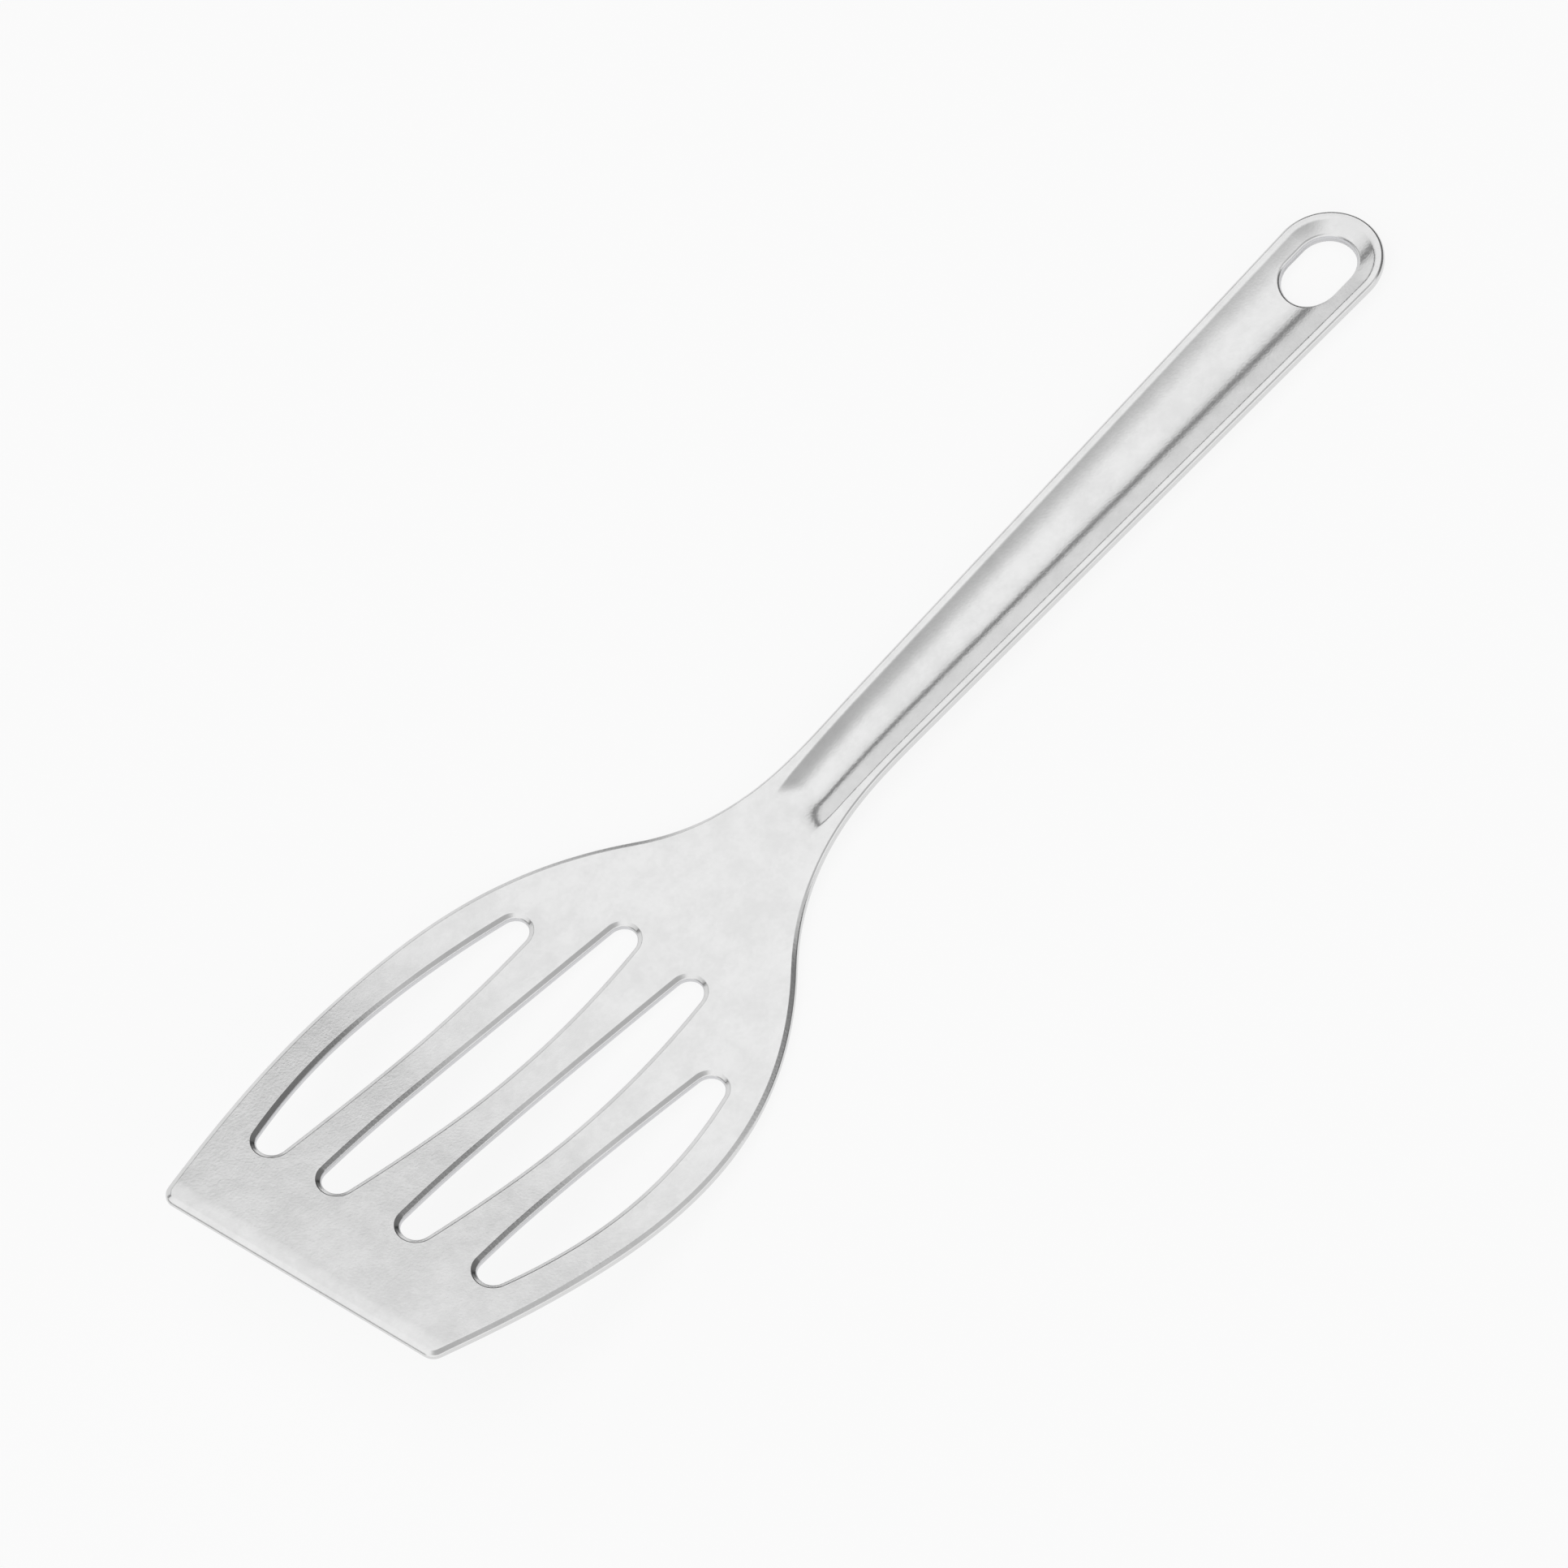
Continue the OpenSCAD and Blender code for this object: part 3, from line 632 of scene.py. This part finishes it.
def edge_band(blank, points, normals):
    """Edge along a loop, from the upper face to the wall and from the wall to the lower face.
    A rounding of radius r turns from the face to the slope b of the bevel, a straight runs
    w - r across and h - r down, and a second rounding turns on to the wall. Gives grids over
    levels and loop of places and normals."""
    place, normal = [], []
    for face, sign in ((blank.upper, 1), (blank.under, -1)):
        width, height, r = blank.edge_form(points, sign)
        b = np.arctan2(height - r + TINY, width - r + TINY)
        levels = [(width - r * np.sin(a), r * (1 - np.cos(a)), a) for a in b * LOW_TURN]
        levels += [(r * (1 - np.sin(a)), height - r * np.cos(a), a)
                   for a in b + (math.pi / 2 - b) * HIGH_TURN]
        for across, drop, a in levels[::sign]:
            p = points - across * normals

            def at(q):
                return face(q) - sign * drop[:, 0]

            up = face_normals(blank, p, at, 1)
            ahead = PROBE * normals
            out = blank.form(p + ahead, at(p)) - blank.form(p - ahead, at(p))
            out = unit_rows(out - (out * up).sum(-1, keepdims=True) * up)
            place.append(blank.form(p, at(p)))
            normal.append(unit_rows(np.sin(a) * out + sign * np.cos(a) * up))
    return np.stack(place), np.stack(normal)


def grid_cells(rows, columns, start, keep=None, turned=False):
    """Quads of a grid of indices that starts at start, without the columns not kept."""
    index = start + np.arange(rows * columns).reshape(rows, columns)
    cells = np.stack([index[:-1, :-1], index[:-1, 1:], index[1:, 1:], index[1:, :-1]], -1)
    if keep is not None:
        cells = cells[:, keep]
    cells = cells.reshape(-1, 4)
    return cells[:, ::-1] if turned else cells


def ring(one, two):
    """Loop of two walls that share both their ends, as points and normals."""
    return [np.concatenate([a, b[-2:0:-1]]) for a, b in zip(one, two)]


def sheet_arrays(blank):
    """All points, normals and quads of the sheet, its two faces and its edges, and which
    quads are walls of an opening."""
    halves = [half_sheet(blank, 1), half_sheet(blank, -1)]
    points, normals, cells = [], [], []
    count = 0

    def add(place, normal, keep=None, turned=False):
        nonlocal count
        rows, columns = place.shape[:2]
        points.append(place.reshape(-1, 3))
        normals.append(normal.reshape(-1, 3))
        cells.append(grid_cells(rows, columns, count, keep, turned))
        count += rows * columns

    total = 2 * COLUMNS
    seams = {COLUMN_STARTS[1] - 1, COLUMN_STARTS[2] - 1, COLUMNS - 1}
    seams |= {total - 2 - c for c in seams}
    keep = np.array([c for c in range(total - 1) if c not in seams])
    for level, (height, sign) in enumerate(((blank.upper, 1), (blank.under, -1))):
        p = np.concatenate([halves[0][0][level], halves[1][0][level][:, ::-1]], 1)
        add(blank.form(p, height(p)), face_normals(blank, p, height, sign), keep, turned=sign < 0)
        if sign > 0:
            front_row = p[0]

    # outline: down the left side, up the right one, and along the front edge
    left, right = (halves[i][1]["side"] for i in (0, 1))
    front = front_row[-2:0:-1]
    front = front + blank.edge_form(front, 1)[0] * blank.front_n
    loop_p = np.concatenate([left[0], right[0][-2::-1], front])
    loop_n = np.concatenate([left[1], right[1][-2::-1], np.tile(blank.front_n, (len(front), 1))])
    loops = [(loop_p, loop_n)]
    for (_, edges), turned in zip(halves, (False, True)):
        for a, b in (("outer_outer", "outer_inner"), ("inner_outer", "inner_inner")):
            p, n = ring(edges[b], edges[a])
            loops.append((p[::-1], n[::-1]) if turned else (p, n))
    loops.append(ring(halves[1][1]["hole"], halves[0][1]["hole"]))
    for p, n in loops:
        p, n = np.concatenate([p, p[:1]]), np.concatenate([n, n[:1]])
        add(*edge_band(blank, p, n))
    # the two faces and the outline come first, and then the bands of the openings
    punched = np.concatenate([np.full(len(c), i > 2) for i, c in enumerate(cells)])
    return np.concatenate(points), np.concatenate(normals), np.concatenate(cells), punched


def weld(points, normals, cells, punched):
    """Joins points in one place and turns quads with two such corners into triangles, which
    come after the quads."""
    key = np.round(points / WELD_CUBE).astype(np.int64)
    _, first, back = np.unique(key, axis=0, return_index=True, return_inverse=True)
    order = np.argsort(first)
    rank = np.empty_like(order)
    rank[order] = np.arange(len(order))
    merged = rank[back.reshape(-1)][cells]
    same = merged == np.roll(merged, -1, 1)
    whole, single = ~same.any(1), same.sum(1) == 1
    quads = merged[whole]
    corners = (same[single].argmax(1)[:, None] + np.array([1, 2, 3])) % 4
    triangles = np.take_along_axis(merged[single], corners, 1)
    chosen = first[order]
    punched = np.concatenate([punched[whole], punched[single]])
    return points[chosen], normals[chosen], quads.tolist() + triangles.tolist(), punched


def turn_about_y(a):
    """Matrix of a turn by the angle a about Y, which lowers +X."""
    return np.array([[math.cos(a), 0, math.sin(a)], [0, 1, 0], [-math.sin(a), 0, math.cos(a)]])


def resting(blank, points):
    """Rotation and shift that lay the turner down: tipped back about the heel, centred in
    x and touching z = 0."""
    rotation = turn_about_y(blank.rest_angle())
    laid = points @ rotation.T
    shift = np.array([-(laid[:, 0].min() + laid[:, 0].max()) / 2, 0, -laid[:, 2].min()])
    return rotation, shift


def make_mesh(name, points, normals, faces, punched):
    """Smooth mesh with its own normals; the walls of the openings take the second material."""
    mesh = bpy.data.meshes.new(name)
    mesh.from_pydata(points.tolist(), [], faces)
    mesh.polygons.foreach_set("use_smooth", np.ones(len(mesh.polygons), bool))
    mesh.polygons.foreach_set("material_index", punched.astype(np.int32))
    mesh.normals_split_custom_set_from_vertices(normals.tolist())
    mesh.update()
    return mesh


# ---- materials ----


def node(tree, kind, settings=(), inputs=()):
    """Adds a node with its settings, then sets or links its inputs, each by name or number:
    an output socket is linked, and anything else is the input's own value."""
    new = tree.nodes.new(kind)
    for key, value in dict(settings).items():
        setattr(new, key, value)
    for key, value in dict(inputs).items():
        if isinstance(value, bpy.types.NodeSocket):
            tree.links.new(value, new.inputs[key])
        else:
            new.inputs[key].default_value = value
    return new


def new_tree(owner):
    """Empty node tree of a material or a world."""
    owner.use_nodes = True
    owner.node_tree.nodes.clear()
    return owner.node_tree


# Numbers of the colour sockets of a Mix node, whose names repeat for each type of data
MIX_A, MIX_B, MIX_OUT = 6, 7, 2


def stainless_steel(name, finish, wall, wall_roughness):
    """Stainless steel 18/10 with its finish; wall is the colour of the walls of the cut, painted
    shade that darkens every face turned sideways.
    """
    material = bpy.data.materials.new(name)
    tree = new_tree(material)
    place = node(tree, "ShaderNodeTexCoord")
    at = place.outputs["Object"]
    # tumbling with stones wears some patches duller than others, which the eye sees as
    # faint clouds in the reflections
    patches = node(tree, "ShaderNodeTexNoise", {}, {
        "Vector": at, "Scale": 1 / finish.patch, "Detail": 5.0, "Roughness": 0.75})
    cloud = node(tree, "ShaderNodeMapRange", {"interpolation_type": "SMOOTHSTEP"}, {
        "Value": patches.outputs["Fac"], "From Min": 0.3, "From Max": 0.7})
    colour = node(tree, "ShaderNodeMix", {"data_type": "RGBA"}, {
        0: cloud.outputs["Result"], MIX_A: (*finish.steel, 1), MIX_B: (*finish.worn_steel_and_wall_shade, 1)})
    # the stones' dents are about 0.1 mm across, too fine to draw, so they are drawn at the
    # size of the grain: a fine sparkle that breaks up the edges of the reflections
    dents = node(tree, "ShaderNodeTexNoise", {}, {
        "Vector": at, "Scale": 1 / finish.grain, "Detail": 2.0, "Roughness": 0.6})
    bump = node(tree, "ShaderNodeBump", {}, {
        "Height": dents.outputs["Fac"], "Strength": finish.dent, "Distance": DENT_HEIGHT})
    # the walls of the cut face sideways, so the upright part of the normal tells them; there the
    # colour is painted shade for the dark floor that they reflect, and the roughness is the wall's
    # own
    facing = node(tree, "ShaderNodeSeparateXYZ", {}, {"Vector": place.outputs["Normal"]})
    upright = node(tree, "ShaderNodeMath", {"operation": "ABSOLUTE"}, {0: facing.outputs["Z"]})
    wall_shade_and_roughness_mask = node(tree, "ShaderNodeMapRange", {"interpolation_type": "SMOOTHSTEP"}, {
        "Value": upright.outputs["Value"], "From Min": WALL_STARTS, "From Max": WALL_IS})
    # painted shade: the sideways walls take the darker wall colour instead of the steel colour
    shade = node(tree, "ShaderNodeMix", {"data_type": "RGBA"}, {
        0: wall_shade_and_roughness_mask.outputs["Result"], MIX_A: colour.outputs[MIX_OUT], MIX_B: (*wall, 1)})
    satin = node(tree, "ShaderNodeMapRange", {}, {
        "Value": cloud.outputs["Result"], "To Min": finish.roughness - finish.roughness_range,
        "To Max": finish.roughness + finish.roughness_range})
    rough = node(tree, "ShaderNodeMapRange", {}, {
        "Value": wall_shade_and_roughness_mask.outputs["Result"], "To Min": satin.outputs["Result"],
        "To Max": wall_roughness})
    surface = node(tree, "ShaderNodeBsdfPrincipled", {}, {
        "Base Color": shade.outputs[MIX_OUT], "Metallic": 1.0,
        "Roughness": rough.outputs["Result"], "Normal": bump.outputs["Normal"]})
    node(tree, "ShaderNodeOutputMaterial", {}, {"Surface": surface.outputs["BSDF"]})
    return material


def tumbled_stainless_steel(finish):
    """Faces and outline: pressed and then tumbled with stones, an even satin without any
    brushing direction, with broad duller clouds and a fine dimpled grain. The walls of the
    outline take the duller colour too, as a painted shade."""
    return stainless_steel("tumbled_stainless_steel", finish, finish.worn_steel_and_wall_shade, finish.roughness)


def punched_steel_painted_shade(finish):
    """Walls of the slots and the hole: the punch tears the lower part of a wall, and the
    stones hardly reach it, so it stays rougher than the faces. Its greyer colour is painted
    shade for the shaded floor that it reflects, which shows as an even pale grey."""
    return stainless_steel(
        "punched_steel_painted_shade", finish, finish.punched, finish.punched_roughness)


def pale_board(studio):
    """Matt white board. Part of it shines by itself for what looks at it, straight or in a
    reflection, so that it shows as white and its shadows stay faint."""
    material = bpy.data.materials.new("matt_white_board")
    tree = new_tree(material)
    matt = node(tree, "ShaderNodeBsdfDiffuse", {}, {"Color": (*studio.floor, 1)})
    white = node(tree, "ShaderNodeEmission", {}, {"Color": (1, 1, 1, 1), "Strength": 1.0})
    path = node(tree, "ShaderNodeLightPath")
    seen = path.outputs["Is Camera Ray"]
    for kind in ("Is Glossy Ray", "Is Transmission Ray"):
        seen = node(tree, "ShaderNodeMath", {"operation": "MAXIMUM"}, {
            0: seen, 1: path.outputs[kind]}).outputs["Value"]
    part = node(tree, "ShaderNodeMath", {"operation": "MULTIPLY"}, {0: seen, 1: studio.floor_glow})
    both = node(tree, "ShaderNodeMixShader", {}, {
        0: part.outputs["Value"], 1: matt.outputs["BSDF"], 2: white.outputs["Emission"]})
    node(tree, "ShaderNodeOutputMaterial", {}, {"Surface": both.outputs["Shader"]})
    return material


def toward(azimuth, elevation):
    """Unit vector to an azimuth, from +X to +Y, and an elevation."""
    return (math.cos(elevation) * math.cos(azimuth), math.cos(elevation) * math.sin(azimuth),
            math.sin(elevation))


def soft_studio(studio):
    """World of soft light all round, brightest above and behind the turner. The side with
    the camera is darker, a dim patch lies ahead of the front edge, a dark gap lies under
    the edge of the light overhead, and the unlit room lies beyond the handle where that
    light has ended. Each level is a smooth step of the dot product of the direction and a
    fixed vector."""
    world = bpy.data.worlds.new("soft_studio")
    tree = new_tree(world)
    way = node(tree, "ShaderNodeTexCoord").outputs["Generated"]

    def along(vector):
        return node(tree, "ShaderNodeVectorMath", {"operation": "DOT_PRODUCT"}, {
            0: way, 1: vector}).outputs["Value"]

    def step(value, start, end, low, high):
        return node(tree, "ShaderNodeMapRange", {"interpolation_type": "SMOOTHSTEP"}, {
            "Value": value, "From Min": start, "From Max": end, "To Min": low, "To Max": high,
        }).outputs["Result"]

    def calculate(operation, a, b):
        return node(tree, "ShaderNodeMath", {"operation": operation}, {
            0: a, 1: b}).outputs["Value"]

    def patch(azimuth, elevation, reach, level):
        return step(along(toward(azimuth, elevation)), math.cos(reach),
                    math.cos(reach * PATCH_CORE), 1.0, level)

    shade = calculate(
        "MULTIPLY",
        patch(studio.dark_azimuth, studio.dark_elevation, studio.dark_reach, studio.dark),
        patch(studio.ahead_azimuth, studio.ahead_elevation, studio.ahead_reach, studio.ahead))
    # an edge of the light overhead is straight, so it lies on a plane through the eye
    back = along(toward(studio.gap_azimuth + math.pi, math.pi / 2 - studio.gap_elevation))
    end = along(toward(studio.room_azimuth + math.pi, math.pi / 2 - studio.room_elevation))
    half = math.sin(studio.gap_height / 2)
    gap = step(calculate("ABSOLUTE", back, 0.0), half * (1 - GAP_EDGE), half * (1 + GAP_EDGE),
               studio.gap, 1.0)
    side = step(back, -half, SIDE_FADE * half, studio.side, 1.0)
    soft = LIGHT_END * half
    outside = step(calculate("MINIMUM", back, end), -soft, soft, 1.0, 0.0)
    window = step(along(toward(ROOM_MIDDLE, 0.0)), math.cos(ROOM_HALF + ROOM_FADE),
                  math.cos(ROOM_HALF - ROOM_FADE), 0.0, 1.0)
    room = step(calculate("MULTIPLY", outside, window), 0.0, 1.0, 1.0, studio.room)
    level = calculate(
        "MULTIPLY", calculate("MULTIPLY", shade, gap), calculate("MULTIPLY", side, room))
    light = node(tree, "ShaderNodeBackground", {}, {
        "Color": (1, 1, 1, 1), "Strength": calculate("MULTIPLY", level, studio.light)})
    node(tree, "ShaderNodeOutputWorld", {}, {"Surface": light.outputs["Background"]})
    return world


# ---- operators ----


class TURNER_OT_sheet(bpy.types.Operator):
    """Build the pressed sheet of the turner with its finish"""

    bl_idname = "turner.sheet"
    bl_label = "Turner sheet"

    def execute(self, context):
        scene = context.scene
        blank = Blank(in_mm(scene.turner_sizes))
        points, normals, faces, punched = weld(*sheet_arrays(blank))
        rotation, shift = resting(blank, points)
        points = (points @ rotation.T + shift) * MM
        mesh = make_mesh(PIECE, points, normals @ rotation.T, faces, punched)
        for steel in (tumbled_stainless_steel, punched_steel_painted_shade):
            mesh.materials.append(steel(scene.turner_finish))
        piece = bpy.data.objects.new(PIECE, mesh)
        scene.collection.objects.link(piece)
        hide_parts(NODE)
        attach(piece, "root")
        return {"FINISHED"}


class TURNER_OT_stage(bpy.types.Operator):
    """Build the floor, the light and the camera"""

    bl_idname = "turner.stage"
    bl_label = "Turner stage"

    def execute(self, context):
        scene = context.scene
        studio = scene.turner_studio
        blank = Blank(in_mm(scene.turner_sizes))
        self.add_floor(scene, studio)
        scene.world = soft_studio(studio)
        self.add_camera(scene, studio, blank)
        scene.view_settings.view_transform = "Standard"
        return {"FINISHED"}

    def add_floor(self, scene, studio):
        corners = [(x * FLOOR_REACH, y * FLOOR_REACH, -FLOOR_DEPTH)
                   for x, y in ((-1, -1), (1, -1), (1, 1), (-1, 1))]
        mesh = bpy.data.meshes.new("floor")
        mesh.from_pydata(corners, [], [(0, 1, 2, 3)])
        mesh.materials.append(pale_board(studio))
        floor = bpy.data.objects.new("floor", mesh)
        scene.collection.objects.link(floor)

    def add_camera(self, scene, studio, blank):
        """The camera looks straight along its own axis; its place is given in the frame of
        the flat blade, turned in plan and tilted, and goes with the turner into its rest."""
        t, turn = studio.camera_tilt, studio.camera_turn
        right = np.array([1.0, 0.0, 0.0])
        up = np.array([0.0, math.cos(t), math.sin(t)])
        back = np.array([0.0, -math.sin(t), math.cos(t)])
        reference = NECK_RUN * math.sin(turn) * math.sin(t)
        place = (studio.camera_right * right + studio.camera_up * up) / MM
        place = place + (studio.camera_distance / MM - reference) * back
        cosine, sine = math.cos(turn), math.sin(turn)
        plan = np.array([[cosine, sine, 0], [-sine, cosine, 0], [0, 0, 1]])
        place = plan @ place - np.array([AXIS_START, 0, 0])
        points = sheet_arrays(blank)[0]
        rotation, shift = resting(blank, points)
        place = (rotation @ place + shift) * MM
        axes = np.stack([rotation @ plan @ v for v in (right, up, back)], 1)
        data = bpy.data.cameras.new("camera")
        data.sensor_width = SENSOR_WIDTH
        data.sensor_fit = "HORIZONTAL"
        data.lens = studio.focal / MM
        data.clip_end = CLIP_END
        camera = bpy.data.objects.new("camera", data)
        camera.matrix_world = Matrix.Translation(Vector(place)) @ Matrix(axes.tolist()).to_4x4()
        scene.collection.objects.link(camera)
        scene.camera = camera


class TURNER_PT_panel(bpy.types.Panel):
    """Sizes, finish and studio of the turner"""

    bl_idname = "TURNER_PT_panel"
    bl_label = "Turner"
    bl_space_type = "VIEW_3D"
    bl_region_type = "UI"
    bl_category = "Turner"

    def draw(self, context):
        layout = self.layout
        for operator in OPERATORS:
            layout.operator(operator.bl_idname)
        for name, _ in GROUPS:
            group = getattr(context.scene, name)
            box = layout.box()
            for key in group.__annotations__:
                box.prop(group, key)


GROUPS = (("turner_sizes", TurnerSizes), ("turner_finish", TurnerFinish),
          ("turner_studio", TurnerStudio))
OPERATORS = (TURNER_OT_sheet, TURNER_OT_stage)
CLASSES = (*[group for _, group in GROUPS], *OPERATORS, TURNER_PT_panel)


def register():
    for each in CLASSES:
        bpy.utils.register_class(each)
    for name, group in GROUPS:
        setattr(bpy.types.Scene, name, PointerProperty(type=group))


def unregister():
    for name, _ in GROUPS:
        delattr(bpy.types.Scene, name)
    for each in reversed(CLASSES):
        bpy.utils.unregister_class(each)


def main():
    register()
    bpy.ops.turner.sheet()
    bpy.ops.turner.stage()


if __name__ == "__main__":
    main()
